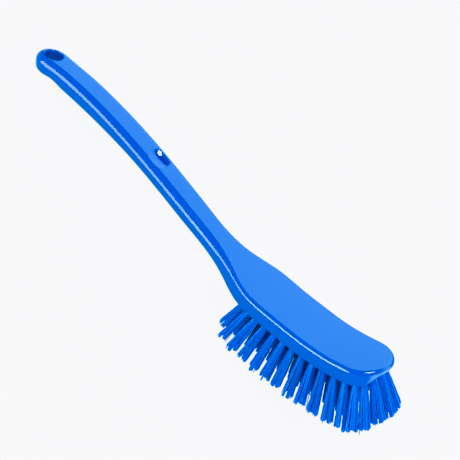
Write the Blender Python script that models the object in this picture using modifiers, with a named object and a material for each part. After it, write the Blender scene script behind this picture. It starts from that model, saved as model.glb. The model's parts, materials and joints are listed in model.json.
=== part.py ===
"""A long-handled hand brush: one moulding that is handle, neck and block, and its staple-set bristle tufts.

The brush is modelled level, with X along it: 0 at the front edge of the block's flat back, negative
towards the handle, Z up from the lowest point of the back. An empty then tips it into its natural
rest, on the tips of its rear tufts and on the end of its handle.
"""
import math
import random

import bmesh
import bpy
import numpy as np
from mathutils import Matrix, Vector

# Driving dimensions, in metres.

BACK_LENGTH = 0.3967
ARCH_RISE = 0.0609
HANDLE_FLAT_WIDTH = 0.0153
BLOCK_FLAT_WIDTH = 0.0482
BODY_DEPTH = 0.0150
KNOB_NOTCH_DEPTH = 0.0015
KNOB_NOTCH_INSET = 0.0207
KNOB_NOTCH_REACH = 0.0165
NOSE_LIFT = 0.0077
NOSE_LIFT_LENGTH = 0.0088
HANDLE_EDGE_RADIUS = 0.0066
BLOCK_EDGE_RADIUS = 0.0034
HANDLE_BELLY_RADIUS = 0.0060
BLOCK_BELLY_RADIUS = 0.0015
WALL_DRAFT = 0.0005
NECK_START = 0.179
NECK_END = 0.127
END_CAP_LENGTH = 0.01175
FRONT_CAP_LENGTH = 0.0193
FRONT_CAP_POWER = 2.01
LAND_MIDDLE = 0.076
LAND_LENGTH = 0.020

HANGING_HOLE_INSET = 0.0080
HANGING_HOLE_RADIUS = 0.0082
HANGING_HOLE_ROUNDING = 0.0012
SLOT_MIDDLE = 0.2535
SLOT_OFFSET = 0.0048
SLOT_LENGTH = 0.0180
SLOT_WIDTH = 0.0070
SCOOP_LENGTH = 0.0210
SCOOP_WIDTH = 0.0190
SCOOP_DEPTH = 0.0013
SCOOP_OFFSET = 0.0005

OUTER_ROW_OFFSET = 0.0208
OUTER_ROW_START = 0.0206
OUTER_ROW_PITCH = 0.00924
INNER_ROW_OFFSET = 0.0076
INNER_ROW_START = 0.0236
INNER_ROW_PITCH = 0.0088
FRONT_ARC_START = 0.0187
FRONT_ARC_REACH = 0.0150
HOLE_RADIUS = 0.0023
HOLE_DEPTH = 0.0070
FAN_MIDDLE = 0.0787
FAN_RADIUS = 0.133
SPLAY_RADIUS = 0.074
FRONT_FLARE = math.radians(5)

TUFT_CLEARANCE = 0.0003
TUFT_PROUD = 0.0008
BRISTLE_LENGTH = 0.0400
TRIM_RAGGEDNESS = 0.0012
STRAND_EMBED = 0.0015
ROOT_RING_RADIUS = 0.00128
TIP_RING_RADIUS = 0.0039
ROOT_STRAND_RADIUS = 0.00052
TIP_STRAND_RADIUS = 0.0013
ANCHOR_THICKNESS = 0.0005
ANCHOR_HEIGHT = 0.0016
ANCHOR_BITE = 0.0006
ANCHOR_INSET = 0.0005
FLOOR_CUT = 0.0005
OVERRUN = 0.004
MERGE_DISTANCE = 0.0001

OUTER_ROW_TUFTS = 11
INNER_ROW_TUFTS = 12
FRONT_ARC_TUFTS = 7
RING_STRANDS = 6

# The side view and the plan, as shares taken at equal steps from the handle's end to the front.

back_height_shares = (1.001, 0.973, 0.887, 0.747, 0.566, 0.363, 0.168, 0.037, 0.003, 0.031, 0.190)
flare_shares = (0.098, 0.004, 0.004, -0.001, 0.003, 0.003, -0.002, -0.016, -0.032, -0.017, 0.333, 0.915,
                1.001, 1.006, 1.000, 1.008, 0.920)
depth_shares = (1.099, 1.122, 1.133, 1.116, 1.067, 1.006, 0.985, 0.999, 1.008, 0.988, 0.941, 0.945,
                0.915, 0.921, 0.919, 0.919, 0.898)

MIDDLE_STATIONS = 54
END_CAP_STATIONS = 5
FRONT_CAP_STATIONS = 8
EDGE_STEPS = 5
BELLY_STEPS = 3
HOLE_SIDES = 8
TUFT_SIDES = 8
LARGE_HOLE_SIDES = 28
SLOT_SIDES = 18
SCOOP_SIDES = 24
ROUNDING_STEPS = 3
SMOOTH_ANGLE = math.radians(35)
STEEPEST_REST = math.radians(45)
REST_PRECISION = math.radians(0.0001)
STRAND_SEED = 4

BODY_COLOUR = (0.02, 0.19, 0.86, 1.0)
BRISTLE_COLOUR = (0.01, 0.13, 0.72, 1.0)
BODY_ROUGHNESS = 0.22
BRISTLE_ROUGHNESS = 0.45


class SmoothTable:
    """A natural cubic curve through shares that stand at equal steps along the back."""

    def __init__(self, shares, size):
        self.values = size * np.array(shares)
        self.step = BACK_LENGTH / (len(shares) - 1)
        count = len(shares)
        matrix = np.eye(count)
        right = np.zeros(count)
        for i in range(1, count - 1):
            matrix[i, i - 1:i + 2] = 1, 4, 1
            right[i] = 6 * (self.values[i - 1] - 2 * self.values[i] + self.values[i + 1]) / self.step**2
        self.bends = np.linalg.solve(matrix, right)

    def at(self, x):
        place = (x + BACK_LENGTH) / self.step
        i = int(min(max(math.floor(place), 0), len(self.values) - 2))
        b = place - i
        a = 1 - b
        bend = (a**3 - a) * self.bends[i] + (b**3 - b) * self.bends[i + 1]
        return float(a * self.values[i] + b * self.values[i + 1] + bend * self.step**2 / 6)

    def slope(self, x):
        place = (x + BACK_LENGTH) / self.step
        i = int(min(max(math.floor(place), 0), len(self.values) - 2))
        b = place - i
        a = 1 - b
        bend = (3 * b * b - 1) * self.bends[i + 1] - (3 * a * a - 1) * self.bends[i]
        return float((self.values[i + 1] - self.values[i]) / self.step + bend * self.step / 6)


back_height = SmoothTable(back_height_shares, ARCH_RISE)
flare = SmoothTable(flare_shares, 1)
plain_depth = SmoothTable(depth_shares, BODY_DEPTH)


def smooth_step(share):
    share = min(max(share, 0), 1)
    return share * share * (3 - 2 * share)


def neck_blend(x):
    """0 on the handle, 1 on the block."""
    return smooth_step((x + NECK_START) / (NECK_START - NECK_END))


def blended(x, handle_size, block_size):
    return handle_size + (block_size - handle_size) * neck_blend(x)


def body_depth(x):
    """The moulding's depth: notched behind the knob at the handle's end, and lifted at the nose."""
    notch = smooth_step(1 - abs(x + BACK_LENGTH - KNOB_NOTCH_INSET) / KNOB_NOTCH_REACH)
    lift = smooth_step((x + NOSE_LIFT_LENGTH) / NOSE_LIFT_LENGTH)
    return plain_depth.at(x) - KNOB_NOTCH_DEPTH * notch - NOSE_LIFT * lift


def flat_half_width(x):
    """Half the width of the flat back, rounded off at both ends."""
    width = HANDLE_FLAT_WIDTH + (BLOCK_FLAT_WIDTH - HANDLE_FLAT_WIDTH) * flare.at(x)
    front = min(max((x + FRONT_CAP_LENGTH) / FRONT_CAP_LENGTH, 0), 1)
    end = min(max((END_CAP_LENGTH - BACK_LENGTH - x) / END_CAP_LENGTH, 0), 1)
    rounding = (1 - front**FRONT_CAP_POWER)**(1 / FRONT_CAP_POWER) * math.sqrt(1 - end**2)
    return width / 2 * rounding


def up_at(x):
    """The direction square to the back at this station."""
    return Vector((-back_height.slope(x), 0, 1)).normalized()


def on_back(x, y):
    return Vector((x, y, back_height.at(x)))


def under_back(x, y):
    """The point on the underside straight below this place on the back."""
    return on_back(x, y) - body_depth(x) * up_at(x)


def stations():
    """Places along the back: close together on the rounded ends, and none inside the flat land."""
    quarter = math.pi / 2
    end = [END_CAP_LENGTH * (1 - math.cos(quarter * i / END_CAP_STATIONS)) - BACK_LENGTH
           for i in range(END_CAP_STATIONS)]
    front = [FRONT_CAP_LENGTH * (math.sin(quarter * i / FRONT_CAP_STATIONS) - 1)
             for i in range(1, FRONT_CAP_STATIONS + 1)]
    middle = np.linspace(END_CAP_LENGTH - BACK_LENGTH, -FRONT_CAP_LENGTH, MIDDLE_STATIONS)
    land = (-LAND_MIDDLE - LAND_LENGTH / 2, -LAND_MIDDLE + LAND_LENGTH / 2)
    spare = (middle[1] - middle[0]) / 2
    kept = [x for x in middle if not land[0] - spare < x < land[1] + spare]
    return [float(x) for x in sorted(end + kept + list(land) + front)]


def section_steps(x):
    """Pairs of (distance out from the flat back's edge, depth below it), down one side of the body."""
    edge = blended(x, HANDLE_EDGE_RADIUS, BLOCK_EDGE_RADIUS)
    belly = blended(x, HANDLE_BELLY_RADIUS, BLOCK_BELLY_RADIUS)
    depth = body_depth(x)
    pairs = []
    for i in range(EDGE_STEPS + 1):
        turn = math.pi / 2 * i / EDGE_STEPS
        pairs.append((edge * math.sin(turn), edge * (1 - math.cos(turn))))
    for i in range(BELLY_STEPS + 1):
        turn = math.pi / 2 * i / BELLY_STEPS
        pairs.append((edge - WALL_DRAFT - belly * (1 - math.cos(turn)), depth - belly * (1 - math.sin(turn))))
    return pairs


def body_rings():
    """Closed rings round the body, one for each step of its section, each point with its mirror."""
    places = stations()
    near = [(x, -flat_half_width(x)) for x in places]
    outline = near + [(x, -y) for x, y in reversed(near[1:-1])]
    count = len(outline)
    rings = [[] for _ in section_steps(0)]
    for i, (x, y) in enumerate(outline):
        before = Vector(outline[i - 1])
        after = Vector(outline[(i + 1) % count])
        along = (after - before).normalized()
        outward = Vector((along.y, -along.x, back_height.slope(x) * along.y)).normalized()
        for ring, (out, down) in zip(rings, section_steps(x)):
            ring.append(on_back(x, y) + out * outward - down * up_at(x))
    return rings


def add_object(name, mesh, collection, material=None):
    obj = bpy.data.objects.new(name, mesh)
    collection.objects.link(obj)
    obj.parent = brush
    if material:
        mesh.materials.append(material)
    return obj


def mesh_from(bm, name):
    bmesh.ops.recalc_face_normals(bm, faces=bm.faces)
    mesh = bpy.data.meshes.new(name)
    bm.to_mesh(mesh)
    bm.free()
    return mesh


def body_mesh():
    """The plain body: its rings joined, closed by strips across the back and the underside."""
    bm = bmesh.new()
    rings = [[bm.verts.new(point) for point in ring] for ring in body_rings()]
    count = len(rings[0])
    for upper, lower in zip(rings, rings[1:]):
        for i in range(count):
            after = (i + 1) % count
            bm.faces.new((upper[i], lower[i], lower[after], upper[after]))
    for ring in (rings[0], rings[-1]):
        for i in range(count // 2):
            corners = [ring[i], ring[i + 1], ring[-i - 1], ring[-i]]
            if i == 0:
                corners.pop()
            if i == count // 2 - 1:
                corners.pop(2)
            bm.faces.new(corners)
    return mesh_from(bm, "handle_block")


def turned_cutter(name, profile, sides, place):
    """A closed profile of (radius, height) pairs turned round Z, then set at a place."""
    mesh = bpy.data.meshes.new(name)
    mesh.from_pydata([(radius, 0, height) for radius, height in profile],
                     [(i, i + 1) for i in range(len(profile) - 1)], [])
    obj = add_object(name, mesh, cutters)
    obj.matrix_local = place
    screw = obj.modifiers.new("turn", "SCREW")
    screw.steps = sides
    screw.render_steps = sides
    screw.use_merge_vertices = True
    screw.merge_threshold = MERGE_DISTANCE
    return as_cutter(obj)


def as_cutter(obj):
    obj.hide_render = True
    obj.display_type = "WIRE"
    return obj


def placed(origin, out, across=Vector((0, 1, 0))):
    """A frame whose Z points along out and whose Y lies as near as it can to across."""
    z = out.normalized()
    x = across.cross(z).normalized()
    y = z.cross(x)
    matrix = Matrix((x, y, z)).transposed().to_4x4()
    matrix.translation = origin
    return matrix


def hanging_hole_cutter():
    x = HANGING_HOLE_INSET - BACK_LENGTH
    depth = body_depth(x)
    rounding = HANGING_HOLE_ROUNDING
    wide = HANGING_HOLE_RADIUS + rounding
    arc = [math.pi / 2 * i / ROUNDING_STEPS for i in range(ROUNDING_STEPS + 1)]
    top = [(wide - rounding * math.sin(turn), rounding * (math.cos(turn) - 1)) for turn in arc]
    bottom = [(radius, -depth - height) for radius, height in reversed(top)]
    profile = [(0, OVERRUN), (wide, OVERRUN)] + top + bottom + [(wide, -depth - OVERRUN), (0, -depth - OVERRUN)]
    return turned_cutter("hanging_hole_cut", profile, LARGE_HOLE_SIDES, placed(on_back(x, 0), up_at(x)))


def slot_cutter():
    """A round-ended slot right through the handle, square to its back."""
    bm = bmesh.new()
    bmesh.ops.create_cone(bm, cap_ends=True, segments=SLOT_SIDES, radius1=SLOT_WIDTH / 2,
                          radius2=SLOT_WIDTH / 2, depth=body_depth(-SLOT_MIDDLE) + 2 * OVERRUN,
                          matrix=Matrix.Rotation(math.pi / SLOT_SIDES, 4, "Z"))
    for vert in bm.verts:
        vert.co.x += math.copysign((SLOT_LENGTH - SLOT_WIDTH) / 2, vert.co.x)
    obj = add_object("slot_cut", mesh_from(bm, "slot_cut"), cutters)
    middle = on_back(-SLOT_MIDDLE, SLOT_OFFSET) - up_at(-SLOT_MIDDLE) * body_depth(-SLOT_MIDDLE) / 2
    obj.matrix_local = placed(middle, up_at(-SLOT_MIDDLE))
    return as_cutter(obj)


def scoop_cutter():
    """A flattened ball that dishes the handle's back round the slot."""
    height = SCOOP_LENGTH / 2
    lift = height - SCOOP_DEPTH
    spread = math.sqrt(1 - (lift / height)**2)
    bm = bmesh.new()
    bmesh.ops.create_uvsphere(bm, u_segments=SCOOP_SIDES, v_segments=SCOOP_SIDES, radius=1)
    bmesh.ops.scale(bm, verts=bm.verts, vec=(SCOOP_LENGTH / 2 / spread, SCOOP_WIDTH / 2 / spread, height))
    obj = add_object("scoop_cut", mesh_from(bm, "scoop_cut"), cutters)
    up = up_at(-SLOT_MIDDLE)
    obj.matrix_local = placed(on_back(-SLOT_MIDDLE, -SCOOP_OFFSET) + lift * up, up)
    return as_cutter(obj)


def fan_direction(x, y):
    """Tufts fan along the block from a line above it, and splay to each side."""
    lean = (x + FAN_MIDDLE) / FAN_RADIUS
    splay = y / SPLAY_RADIUS
    return Vector((math.sin(lean), math.sin(splay), -math.cos(lean) * math.cos(splay))).normalized()


def tuft_place(name, x, y, flare_way=Vector((0, 0, 0))):
    """A tuft's name and the frame at its root, for a place on the back's plan."""
    return name, placed(under_back(x, y), fan_direction(x, y) + math.tan(FRONT_FLARE) * flare_way)


def tuft_places():
    """Every tuft's name and frame: two outer rows, two inner rows and the arc round the front."""
    found = []
    for side, sign in (("near", -1), ("far", 1)):
        for i in range(OUTER_ROW_TUFTS):
            x = -OUTER_ROW_START - i * OUTER_ROW_PITCH
            found.append(tuft_place(f"tuft_{side}_outer_{i + 1:02d}", x, sign * OUTER_ROW_OFFSET))
        for i in range(INNER_ROW_TUFTS):
            x = -INNER_ROW_START - i * INNER_ROW_PITCH
            found.append(tuft_place(f"tuft_{side}_inner_{i + 1:02d}", x, sign * INNER_ROW_OFFSET))
    for i in range(FRONT_ARC_TUFTS):
        turn = math.pi * (i + 1) / (FRONT_ARC_TUFTS + 1)
        x = FRONT_ARC_REACH * math.sin(turn) - FRONT_ARC_START
        y = -OUTER_ROW_OFFSET * math.cos(turn)
        found.append(tuft_place(f"tuft_front_{i + 1}", x, y, Vector((math.sin(turn), -math.cos(turn), 0))))
    return found


def strands(draw):
    """(root, tip) centres of a tuft's strands in its own frame: one in the middle and a ring round it."""
    spin = draw.uniform(0, math.pi / RING_STRANDS)
    found = [((0, 0), (0, 0), 0)]
    for i in range(RING_STRANDS):
        turn = spin + 2 * math.pi * i / RING_STRANDS
        way = (math.cos(turn), math.sin(turn))
        found.append(((ROOT_RING_RADIUS * way[0], ROOT_RING_RADIUS * way[1]),
                      (TIP_RING_RADIUS * way[0], TIP_RING_RADIUS * way[1]), turn))
    return [(Vector((*root, -STRAND_EMBED)),
             Vector((*tip, BRISTLE_LENGTH - draw.uniform(0, TRIM_RAGGEDNESS))), turn)
            for root, tip, turn in found]


def tuft_layout():
    """Every tuft as (name, frame at its root, its strands)."""
    draw = random.Random(STRAND_SEED)
    return [(name, frame, strands(draw)) for name, frame in tuft_places()]


def height_at(tilt, point):
    """The height of a point once the handle is let down by this angle."""
    return point.z * math.cos(tilt) + point.x * math.sin(tilt)


def rest_tilt(tips, body):
    """The angle at which the lowest tips reach a set depth below the handle's lowest point."""
    low, high = 0, STEEPEST_REST
    while high - low > REST_PRECISION:
        tilt = (low + high) / 2
        tips_depth = min(height_at(tilt, point) for point in tips) + FLOOR_CUT
        if tips_depth < min(height_at(tilt, point) for point in body):
            low = tilt
        else:
            high = tilt
    return low


def cut_at_floor(point, along, up, floor):
    """The point itself, or where its strand meets the floor if it lies lower."""
    below = floor - point.dot(up)
    if below <= 0:
        return point
    return point - along * (below / -along.dot(up))


def prism(bm, root, tip, root_radius, tip_radius, turn, trim):
    """A three-sided strand whose tip corners are trimmed at the floor."""
    ends = []
    along = (tip - root).normalized()
    for centre, radius in ((root, root_radius), (tip, tip_radius)):
        ring = []
        for i in range(3):
            angle = turn + 2 * math.pi * i / 3
            ring.append(centre + radius * Vector((math.cos(angle), math.sin(angle), 0)))
        ends.append(ring)
    ends[1] = [trim(corner, along) for corner in ends[1]]
    lower, upper = ([bm.verts.new(corner) for corner in ring] for ring in ends)
    for i in range(3):
        after = (i + 1) % 3
        bm.faces.new((lower[i], lower[after], upper[after], upper[i]))
    bm.faces.new(lower)
    bm.faces.new(upper)


def anchor_box(bm, length, thickness, height, top):
    """A flat bar across the tuft, with its inner edge at this height above the hole's mouth."""
    made = bmesh.ops.create_cube(bm, size=1)["verts"]
    bmesh.ops.scale(bm, verts=made, vec=(thickness, length, height))
    bmesh.ops.translate(bm, verts=made, vec=(0, 0, -top + height / 2))


def joined(name, base, additions, collection):
    """One closed mesh of base and additions."""
    first = add_object(name, base, cutters)
    others = [add_object(name + "_add", mesh, cutters) for mesh in additions]
    for other in others:
        union = first.modifiers.new("join", "BOOLEAN")
        union.operation = "UNION"
        union.object = other
    bpy.context.view_layer.update()
    evaluated = first.evaluated_get(bpy.context.evaluated_depsgraph_get())
    mesh = bpy.data.meshes.new_from_object(evaluated)
    for obj in (first, *others):
        bpy.data.objects.remove(obj)
    return add_object(name, mesh, collection)


def add_tuft(name, frame, its_strands, up, floor):
    """A tuft: its bound root, the anchor wire that holds it in its hole, and its strands."""
    back = frame.to_3x3().inverted()
    local_up = back @ up
    local_floor = floor - frame.translation.dot(up)

    def trim(corner, along):
        return cut_at_floor(corner, along, local_up, local_floor)

    root = bmesh.new()
    depth = HOLE_DEPTH - TUFT_CLEARANCE
    bmesh.ops.create_cone(root, cap_ends=True, segments=TUFT_SIDES, radius1=HOLE_RADIUS - TUFT_CLEARANCE,
                          radius2=HOLE_RADIUS - TUFT_CLEARANCE, depth=depth + TUFT_PROUD,
                          matrix=Matrix.Translation((0, 0, (TUFT_PROUD - depth) / 2))
                          @ Matrix.Rotation(math.pi / TUFT_SIDES, 4, "Z"))
    bar = bmesh.new()
    anchor_box(bar, 2 * (HOLE_RADIUS + ANCHOR_BITE), ANCHOR_THICKNESS, ANCHOR_HEIGHT, depth - ANCHOR_INSET)
    bundle = bmesh.new()
    for base, tip, turn in its_strands:
        prism(bundle, base, tip, ROOT_STRAND_RADIUS, TIP_STRAND_RADIUS, turn, trim)
    obj = joined(name, mesh_from(root, name), [mesh_from(bar, name), mesh_from(bundle, name)], parts)
    obj.data.materials.clear()
    obj.data.materials.append(bristle_material)
    obj.matrix_local = frame
    return obj


def tuft_hole_cutters(layout):
    """All the blind holes as one cutter, and all the pockets that their anchors bite into as another."""
    holes = bmesh.new()
    pockets = bmesh.new()
    for _, frame, _ in layout:
        middle = Matrix.Translation((0, 0, (OVERRUN - HOLE_DEPTH) / 2))
        bmesh.ops.create_cone(holes, cap_ends=True, segments=HOLE_SIDES, radius1=HOLE_RADIUS,
                              radius2=HOLE_RADIUS, depth=HOLE_DEPTH + OVERRUN, matrix=frame @ middle)
        before = len(pockets.verts)
        gap = 2 * TUFT_CLEARANCE
        anchor_box(pockets, 2 * (HOLE_RADIUS + ANCHOR_BITE) + gap, ANCHOR_THICKNESS + gap,
                   ANCHOR_HEIGHT + gap, HOLE_DEPTH - ANCHOR_INSET)
        pockets.verts.ensure_lookup_table()
        bmesh.ops.transform(pockets, matrix=frame, verts=pockets.verts[before:])
    return [as_cutter(add_object(name, mesh_from(bm, name), cutters))
            for name, bm in (("tuft_holes_cut", holes), ("anchor_pockets_cut", pockets))]


def add_body(layout):
    """The moulding with its hanging hole, its dished slot and a blind hole for every tuft."""
    body = add_object("handle_block", body_mesh(), parts, body_material)
    for cutter in (hanging_hole_cutter(), scoop_cutter(), slot_cutter(), *tuft_hole_cutters(layout)):
        cut = body.modifiers.new(cutter.name, "BOOLEAN")
        cut.operation = "DIFFERENCE"
        cut.object = cutter
    body.data.shade_smooth()
    body.data.set_sharp_from_angle(angle=SMOOTH_ANGLE)
    return body


def plastic(name, colour, roughness):
    material = bpy.data.materials.new(name)
    material.use_nodes = True
    shader = material.node_tree.nodes["Principled BSDF"]
    shader.inputs["Base Color"].default_value = colour
    shader.inputs["Roughness"].default_value = roughness
    shader.inputs["Metallic"].default_value = 0
    return material


for old in list(bpy.data.objects):
    bpy.data.objects.remove(old)

parts = bpy.data.collections.new("hand_brush")
cutters = bpy.data.collections.new("cutters")
for group in (parts, cutters):
    bpy.context.scene.collection.children.link(group)

body_material = plastic("blue_moulding", BODY_COLOUR, BODY_ROUGHNESS)
bristle_material = plastic("blue_filament", BRISTLE_COLOUR, BRISTLE_ROUGHNESS)

brush = bpy.data.objects.new("brush_datum", None)
parts.objects.link(brush)

tufts = tuft_layout()
tip_points = [frame @ tip for _, frame, its_strands in tufts for _, tip, _ in its_strands]
body_points = [point for ring in body_rings() for point in ring]
tilt = rest_tilt(tip_points, body_points)
floor = min(height_at(tilt, point) for point in body_points)
level_up = Vector((math.sin(tilt), 0, math.cos(tilt)))

add_body(tufts)
for name, frame, its_strands in tufts:
    add_tuft(name, frame, its_strands, level_up, floor)

turn_down = Matrix.Rotation(-tilt, 4, "Y")
reach = [(turn_down @ point).x for point in tip_points + body_points]
brush.matrix_world = Matrix.Translation((-(min(reach) + max(reach)) / 2, 0, -floor)) @ turn_down

print(f"{len(tufts)} tufts, {len(tip_points)} strands, at rest tipped {math.degrees(tilt):.2f} degrees")
for label, x, y, reach in (("block land", -LAND_MIDDLE, 0, LAND_LENGTH / 2),
                           ("hanging hole", HANGING_HOLE_INSET - BACK_LENGTH, 0, 0),
                           ("slot", -SLOT_MIDDLE, SLOT_OFFSET, 0)):
    world = brush.matrix_world @ ((on_back(x - reach, y) + on_back(x + reach, y)) / 2)
    normal = brush.matrix_world.to_3x3() @ up_at(x)
    print(label, "at", tuple(round(v, 5) for v in world), "faces", tuple(round(v, 5) for v in normal))
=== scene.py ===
# %% [markdown]
# # A long-handled hand brush
#
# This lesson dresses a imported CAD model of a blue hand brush. The CAD gives every piece its place;
# here each piece gets the shape and the finish that show in a close view. The brush is one glossy
# moulding, arched from the hanging hole to the block's nose, with tufts of fine filament driven into
# its underside.
#
# The moulding comes first, and the holes in it, as on the real brush. Then one filament, one tuft and
# its anchor are made. The plastics follow, so that each copy of a tuft goes into its hole with its
# finish, and the light and the camera come last.

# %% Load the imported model
import json
import math
import random

import bmesh
import bpy
import numpy as np
from mathutils import Matrix, Vector


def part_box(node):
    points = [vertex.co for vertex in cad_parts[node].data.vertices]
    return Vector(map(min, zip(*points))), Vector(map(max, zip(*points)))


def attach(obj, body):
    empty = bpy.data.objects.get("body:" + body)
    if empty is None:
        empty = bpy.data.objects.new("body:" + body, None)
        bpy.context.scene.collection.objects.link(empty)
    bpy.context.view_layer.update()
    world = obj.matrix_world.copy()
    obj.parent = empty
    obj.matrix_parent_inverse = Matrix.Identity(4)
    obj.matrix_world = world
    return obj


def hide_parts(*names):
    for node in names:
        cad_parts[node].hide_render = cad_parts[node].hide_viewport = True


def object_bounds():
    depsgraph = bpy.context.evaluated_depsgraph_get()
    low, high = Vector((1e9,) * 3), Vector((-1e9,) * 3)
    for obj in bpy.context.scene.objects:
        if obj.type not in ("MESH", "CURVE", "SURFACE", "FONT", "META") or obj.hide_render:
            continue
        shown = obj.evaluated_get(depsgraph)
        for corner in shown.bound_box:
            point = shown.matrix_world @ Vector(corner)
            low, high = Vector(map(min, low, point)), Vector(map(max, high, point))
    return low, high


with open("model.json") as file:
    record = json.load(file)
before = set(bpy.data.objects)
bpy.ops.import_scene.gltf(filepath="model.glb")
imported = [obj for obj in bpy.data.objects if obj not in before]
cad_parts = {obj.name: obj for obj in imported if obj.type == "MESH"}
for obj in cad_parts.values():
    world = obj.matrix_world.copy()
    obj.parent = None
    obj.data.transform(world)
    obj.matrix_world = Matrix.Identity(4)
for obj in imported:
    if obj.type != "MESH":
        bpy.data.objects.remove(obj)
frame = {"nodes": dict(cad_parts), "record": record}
cad_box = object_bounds()
print("CAD nodes:", len(frame["nodes"]))
print("CAD box from", [round(v, 4) for v in cad_box[0]], "to", [round(v, 4) for v in cad_box[1]])

# %% [markdown]
# ## The back and the plan
#
# The whole shape hangs on three drawings: the arched line of the brush's back, seen from the side,
# its plan, which is the width from end to end, and the depth of the moulding below the back. All
# three are smooth curves through a few shares at equal steps, as a draughtsman's spline goes through
# its pins. A cubic spline is chosen over a Bezier curve because its height and its slope can be asked
# for at any place, which every later piece needs.
#
# The brush is drawn level: X runs along it and is 0 at the nose, and the handle lies at negative X.

# %% Sizes of the moulding, in metres
BACK_LENGTH = 0.3967
ARCH_RISE = 0.0609
HANDLE_FLAT_WIDTH, BLOCK_FLAT_WIDTH = 0.0153, 0.0482
BODY_DEPTH = 0.0150
KNOB_NOTCH_DEPTH, KNOB_NOTCH_INSET, KNOB_NOTCH_REACH = 0.0015, 0.0207, 0.0165
NOSE_LIFT, NOSE_LIFT_LENGTH = 0.0077, 0.0088
NECK_START, NECK_END = 0.179, 0.127
END_CAP_LENGTH, FRONT_CAP_LENGTH, FRONT_CAP_POWER = 0.01175, 0.0193, 2.01

BACK_HEIGHTS = (1.001, 0.973, 0.887, 0.747, 0.566, 0.363, 0.168, 0.037, 0.003, 0.031, 0.190)
FLARES = (0.098, 0.004, 0.004, -0.001, 0.003, 0.003, -0.002, -0.016, -0.032, -0.017, 0.333, 0.915,
          1.001, 1.006, 1.000, 1.008, 0.920)
DEPTHS = (1.099, 1.122, 1.133, 1.116, 1.067, 1.006, 0.985, 0.999, 1.008, 0.988, 0.941, 0.945,
          0.915, 0.921, 0.919, 0.919, 0.898)

# %% A spline through pins at equal steps
def bends_of(pins, step):
    """How sharply the spline bends at each pin, with free ends."""
    count = len(pins)
    matrix = np.eye(count)
    right = np.zeros(count)
    for i in range(1, count - 1):
        matrix[i, i - 1:i + 2] = 1, 4, 1
        right[i] = 6 * (pins[i - 1] - 2 * pins[i] + pins[i + 1]) / step**2
    return np.linalg.solve(matrix, right)


class PinnedSpline:
    """A curve through shares of a size, pinned at equal steps along the back."""

    def __init__(self, shares, size):
        self.pins = size * np.array(shares)
        self.step = BACK_LENGTH / (len(shares) - 1)
        self.bends = bends_of(self.pins, self.step)

    def piece(self, x):
        place = (x + BACK_LENGTH) / self.step
        i = int(min(max(math.floor(place), 0), len(self.pins) - 2))
        return i, place - i

    def at(self, x):
        i, b = self.piece(x)
        a = 1 - b
        bend = (a**3 - a) * self.bends[i] + (b**3 - b) * self.bends[i + 1]
        return float(a * self.pins[i] + b * self.pins[i + 1] + bend * self.step**2 / 6)

    def slope(self, x):
        i, b = self.piece(x)
        a = 1 - b
        bend = (3 * b * b - 1) * self.bends[i + 1] - (3 * a * a - 1) * self.bends[i]
        return float((self.pins[i + 1] - self.pins[i]) / self.step + bend * self.step / 6)


back_height = PinnedSpline(BACK_HEIGHTS, ARCH_RISE)
flare = PinnedSpline(FLARES, 1)
plain_depth = PinnedSpline(DEPTHS, BODY_DEPTH)
print("The back rises", round(1000 * back_height.at(-BACK_LENGTH), 1), "mm at the handle's end")

# %% Places and directions on the back
def held(share):
    return min(max(share, 0), 1)


def ease(share):
    share = held(share)
    return share * share * (3 - 2 * share)


def neck_blend(x):
    """0 on the handle, 1 on the block."""
    return ease((x + NECK_START) / (NECK_START - NECK_END))


def body_depth(x):
    """The depth of the moulding: notched behind the knob at its end, and lifted at the nose."""
    notch = ease(1 - abs(x + BACK_LENGTH - KNOB_NOTCH_INSET) / KNOB_NOTCH_REACH)
    nose = ease((x + NOSE_LIFT_LENGTH) / NOSE_LIFT_LENGTH)
    return plain_depth.at(x) - KNOB_NOTCH_DEPTH * notch - NOSE_LIFT * nose


def up_at(x):
    return Vector((-back_height.slope(x), 0, 1)).normalized()


def on_back(x, y):
    return Vector((x, y, back_height.at(x)))


def under_back(x, y):
    return on_back(x, y) - body_depth(x) * up_at(x)


print("The moulding is", round(1000 * body_depth(-BACK_LENGTH / 2), 1), "mm deep at half length")

# %% [markdown]
# ## From the drawing board to the floor
#
# The brush lies on the tips of its rear tufts and on the end of its handle, tipped by nearly 20
# degrees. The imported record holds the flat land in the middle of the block's back as a mount, with
# its place and the way it faces. The same land can be found on the level drawing, so the two together
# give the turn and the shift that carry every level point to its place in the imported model.

# %% The turn and the shift from level to rest
LAND_MIDDLE, LAND_LENGTH = 0.076, 0.020

land = frame["record"]["mounts"][0]
rear, fore = on_back(-LAND_MIDDLE - LAND_LENGTH / 2, 0), on_back(-LAND_MIDDLE + LAND_LENGTH / 2, 0)
level_slope = math.atan2(fore.z - rear.z, fore.x - rear.x)
rest_slope = math.atan2(-land["axis"][0], land["axis"][2])
turn_down = Matrix.Rotation(level_slope - rest_slope, 4, "Y")
to_rest = Matrix.Translation(Vector(land["pos_m"]) - turn_down @ ((rear + fore) / 2)) @ turn_down
print("Tipped by", round(math.degrees(rest_slope - level_slope), 2), "degrees")

# %% [markdown]
# ## The moulding
#
# Handle, neck and block are one shot of plastic. Its flat back is edged by a rounding that is wide on
# the handle, where a hand closes on it, and tight on the block. Below that a nearly upright wall,
# split at half height by the mould's parting line, runs down to a small rounding and the flat
# underside.
#
# A box with bevelled edges could not do this, because the bevel has to change its size on the way and
# turn the corner at both round ends. So the moulding is drawn up as a potter draws up a pot: a circle
# is pushed out to the outline of the flat back, and is then extruded again and again, each new ring
# laid a little further out and down along the rounding, the wall and the belly.

# %% Selecting, editing, copying and joining
def pick(*objects):
    """Selects these objects only, the last one active."""
    bpy.ops.object.select_all(action="DESELECT")
    for obj in objects:
        obj.select_set(True)
    bpy.context.view_layer.objects.active = objects[-1]


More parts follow.
